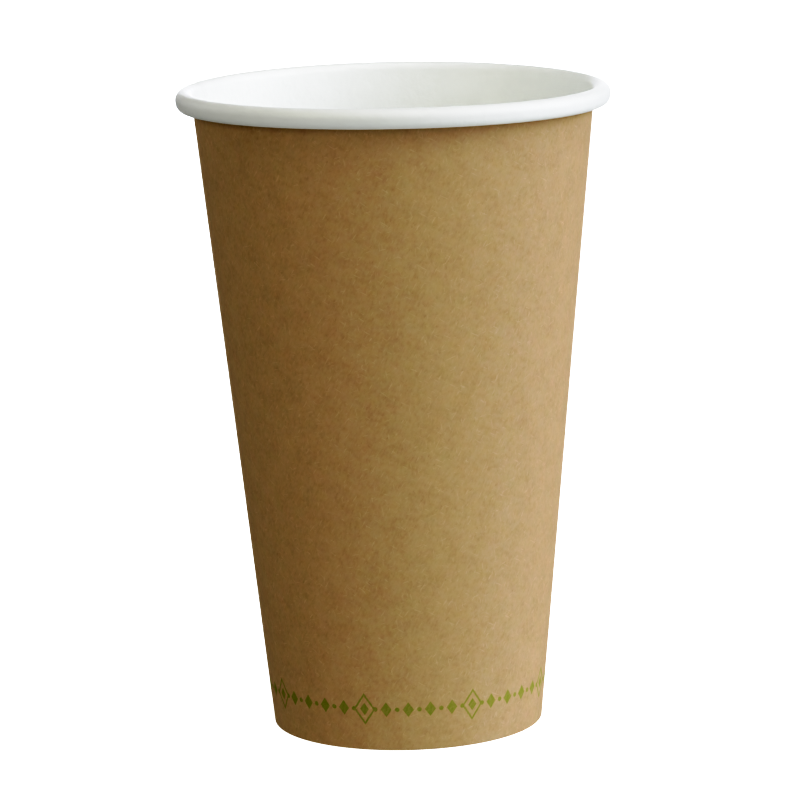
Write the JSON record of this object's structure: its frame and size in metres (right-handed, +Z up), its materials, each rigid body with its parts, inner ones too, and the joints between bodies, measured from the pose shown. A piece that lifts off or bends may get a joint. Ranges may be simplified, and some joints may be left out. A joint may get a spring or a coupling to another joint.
{
  "type": "paper coffee cup",
  "caption": "Tall tapered paper cup for hot drinks, with a rolled rim, a lapped side seam and a raised floor held in a folded foot.",
  "frame": {"origin": "centre of the foot, on the surface that the cup stands on", "axes": "+Z up along the cup's axis, -Y towards the viewer of the picture, +X to the viewer's right"},
  "size_m": [0.09, 0.09, 0.135],
  "materials": {
    "kraft_board": "matte",
    "white_board": "satin"
  },
  "bodies": {
    "root": {"side_wall": "kraft_board", "floor_disc": "white_board"}
  },
  "joints": []
}
